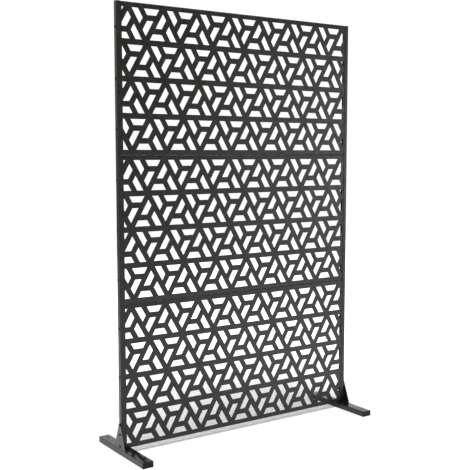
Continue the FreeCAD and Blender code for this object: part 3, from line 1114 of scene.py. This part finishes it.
@dataclass
class Studio:
    """A pale floor, a white wall, soft boxes and the camera of the photograph. Metres."""

    eye: Triple
    view: Triple
    view_degrees: float
    lamps: tuple[SoftBox, ...]
    farthest: float = 200.0
    floor_reach: float = 30.0
    floor_clouds_per_metre: float = 1.5
    floor_tones: tuple[Colour, Colour] = ((0.80, 0.80, 0.80), (0.81, 0.81, 0.81))
    glow_levels: Triple = (0.21, 0.12, 1.0)
    glow_fade: Span = (0.3, 0.9)
    glow_squeeze: Span = (0.5, 0.45)
    glow_lift: Span = (0.05, 0.3)
    sheen_levels: Triple = (0.9, 0.10, 1.25)
    sheen_edge: Span = (-0.8, -0.6)
    sheen_depth: Span = (1.5, 3.5)
    pool: Triple = (1.2, -1.1, 0.0)
    pool_fade: Span = (0.5, 1.55)
    pool_depth: Span = (-0.35, -0.1)
    rear_depth: Span = (0.5, 1.1)
    rear_level: float = 0.9
    wall_reach: float = 12.0
    wall_distance: float = 6.0
    wall_height: float = 8.0
    wall_rise: Span = (0.9, 2.3)
    wall_levels: Span = (0.25, 1.05)
    wall_side: Span = (-1.6, -0.8)
    wall_cloud_levels: Span = (1.0, 1.02)
    wall_clouds_per_metre: float = 0.5
    room_level: float = 0.10

    def glow(self, surface: Surface) -> Socket:
        """Works out how bright the floor is to the eye: dim about the screen, white further off.

        Args:
            surface: The floor's nodes.

        Returns:
            The strength of the glow.
        """
        near, behind, far = self.glow_levels
        across, deep, _ = surface.add("ShaderNodeSeparateXYZ", {0: surface.spot}).outputs
        sideways, backwards = self.glow_squeeze
        front, back = (surface.math("MULTIPLY", deep, share) for share in (-1.0, backwards))
        wide, long = surface.math("MULTIPLY", across, sideways), surface.math("MAXIMUM", front, back)
        fade = surface.span(surface.length(surface.vector(X=wide, Y=long)), self.glow_fade, (near, far))
        # Painted light: the glow rises a little just behind the screen, which lightens the screen's shadow
        # there.
        lift = surface.span(deep, self.glow_lift, (0.0, behind))
        return surface.math("MINIMUM", surface.math("ADD", fade, lift), far)

    def sheen(self, surface: Surface) -> Socket:
        """Works out the floor's painted reflection: how bright it is in the screen's gloss only, beside,
        behind and in a pool before.

        Args:
            surface: The floor's nodes.

        Returns:
            The strength of the sheen.
        """
        left, middle, right = self.sheen_levels
        across, deep, _ = surface.add("ShaderNodeSeparateXYZ", {0: surface.spot}).outputs
        falling = surface.span(across, self.sheen_edge, (left, middle))
        beside = surface.math("MULTIPLY", falling, surface.span(deep, self.sheen_depth, (1.0, 0.0)))
        ends = {0: surface.spot, 1: self.pool}
        offset = surface.add("ShaderNodeVectorMath", ends, operation="SUBTRACT").outputs[0]
        # Painted reflection: a pool of glow before the screen's right end, seen in gloss only.
        pool = surface.span(surface.length(offset), self.pool_fade, (right, 0.0))
        before = surface.math("MULTIPLY", pool, surface.span(deep, self.pool_depth, (1.0, 0.0)))
        right_of = surface.span(across, self.sheen_edge, (0.0, 1.0))
        rear = surface.span(deep, self.rear_depth, (0.0, self.rear_level))
        behind = surface.math("MULTIPLY", right_of, rear)
        return surface.math("MAXIMUM", surface.math("MAXIMUM", beside, before), behind)

    def floor(self) -> None:
        """Lays the floor, white to the eye and still shaded where light is kept off it."""
        surface = Surface("pale_floor")
        tone = surface.blend(surface.noise(self.floor_clouds_per_metre), *self.floor_tones)
        matt = surface.add("ShaderNodeBsdfDiffuse", {"Color": tone})
        path = surface.add("ShaderNodeLightPath").outputs
        seen = surface.math("MULTIPLY", path["Is Camera Ray"], self.glow(surface))
        # Painted reflection: in gloss only, the floor glows in patches that brighten the screen's
        # reflections.
        mirrored = surface.math("MULTIPLY", path["Is Glossy Ray"], self.sheen(surface))
        strength = surface.math("MAXIMUM", seen, mirrored)
        light = surface.add("ShaderNodeEmission", {"Strength": strength})
        both = surface.add("ShaderNodeAddShader", {0: matt.outputs[0], 1: light.outputs[0]})
        shape = bmesh.new()
        bmesh.ops.create_grid(shape, x_segments=2, y_segments=2, size=self.floor_reach)
        floor = from_bmesh("studio_floor", shape)
        floor.data.materials.append(surface.show(both))

    def backdrop(self) -> None:
        """Hangs a wall far behind the screen: white, but dim low on the left to all but the eye."""
        surface = Surface("white_wall")
        path = surface.add("ShaderNodeLightPath").outputs
        across, _, height = surface.add("ShaderNodeSeparateXYZ", {0: surface.spot}).outputs
        side = surface.span(across, self.wall_side, (0.0, 1.0))
        mirrored = surface.math("MULTIPLY", path["Is Glossy Ray"], side)
        seen = surface.math("MAXIMUM", path["Is Camera Ray"], mirrored)
        white = surface.math("MAXIMUM", seen, surface.span(height, self.wall_rise, self.wall_levels))
        cloud = surface.span(surface.noise(self.wall_clouds_per_metre), (0.0, 1.0), self.wall_cloud_levels)
        light = surface.add("ShaderNodeEmission", {"Strength": surface.math("MULTIPLY", white, cloud)})
        shape = bmesh.new()
        wide, y, top = self.wall_reach, self.wall_distance, self.wall_height
        corners = [(-wide, y, 0), (wide, y, 0), (wide, y, top), (-wide, y, top)]
        shape.faces.new([shape.verts.new(corner) for corner in corners])
        wall = from_bmesh("studio_wall", shape)
        wall.data.materials.append(surface.show(light))

    def world(self) -> None:
        """Fills the room: white to the eye, and a soft even light on the screen."""
        world = bpy.data.worlds.new("studio")
        bpy.context.scene.world = world
        world.use_nodes = True
        world.node_tree.nodes.clear()
        nodes = Tree(world.node_tree)
        seen = nodes.add("ShaderNodeLightPath").outputs["Is Camera Ray"]
        soft, bright = (
            nodes.add("ShaderNodeBackground", {"Color": (1, 1, 1, 1), "Strength": level}).outputs[0]
            for level in (self.room_level, 1.0)
        )
        mix = nodes.add("ShaderNodeMixShader", {0: seen, 1: soft, 2: bright})
        nodes.add("ShaderNodeOutputWorld", {"Surface": mix.outputs[0]})

    def camera(self) -> None:
        """Sets the camera where the photograph was taken from."""
        camera = bpy.data.cameras.new("photo_camera")
        camera.sensor_fit = "HORIZONTAL"
        camera.angle = math.radians(self.view_degrees)
        camera.clip_end = self.farthest
        item = bpy.data.objects.new("photo_camera", camera)
        item.location = self.eye
        item.rotation_euler = Vector(self.view).to_track_quat("-Z", "Y").to_euler()
        bpy.context.scene.collection.objects.link(item)
        bpy.context.scene.camera = item

    def build(self) -> None:
        """Sets up the room."""
        self.floor()
        self.backdrop()
        self.world()
        for lamp in self.lamps:
            lamp.build()
        self.camera()
        bpy.context.scene.view_settings.view_transform = "Standard"


def main() -> None:
    """Builds the screen from its finishes to its fasteners, then the studio."""
    logging.basicConfig(level=logging.INFO, format="%(name)s: %(message)s")
    frame_coat = PowderCoat(
        name="frame_powder_coat", tones=((0.005, 0.005, 0.005), (0.008, 0.008, 0.0078)),
        roughness=(0.13, 0.26), specular=0.52, peel_depth=0.00010,
    ).build()
    charcoal = PowderCoat(
        name="charcoal_powder_coat", tones=((0.010, 0.010, 0.0080), (0.016, 0.016, 0.0128)),
        roughness=(0.27, 0.47), specular=0.42, peel_depth=0.00022,
    ).build()
    plastic = MouldedPlastic(
        name="black_moulding", tones=((0.007, 0.007, 0.007), (0.012, 0.012, 0.012)),
        roughness=(0.45, 0.6), specular=0.22, grain_depth=0.00008,
    ).build()
    steel = BlackenedSteel(
        name="blackened_steel", tones=((0.012, 0.012, 0.013), (0.06, 0.06, 0.06)),
        roughness=(0.35, 0.5), metal=0.5,
    ).build()
    pieces = LatticePanel(charcoal).build()
    pieces += Uprights(charcoal).build()
    pieces += FootTube(frame_coat, plastic).build()
    pieces += Bracket(frame_coat).build()
    pieces += Fasteners(steel).build()
    LOG.info("%d pieces", len(pieces))
    Studio(
        eye=(-2.15244, -3.05827, 1.23387), view=(0.56664, 0.81835, -0.09603), view_degrees=30.8068,
        lamps=(
            SoftBox("top_soft_box", (-1.8, -2.6, 7.5), (0, 0.1, 0), (4.6, 3.8), 680),
            SoftBox("right_soft_box", (4.2, -3.6, 1.2), (0, 0, 0.9), (2.4, 2.4), 44, sheen_only=True),
            SoftBox("high_soft_box", (3.0, -2.0, 6.0), (0, 0, 1.0), (1.5, 1.5), 150, sheen_only=True),
        ),
    ).build()


if __name__ == "__main__":
    main()
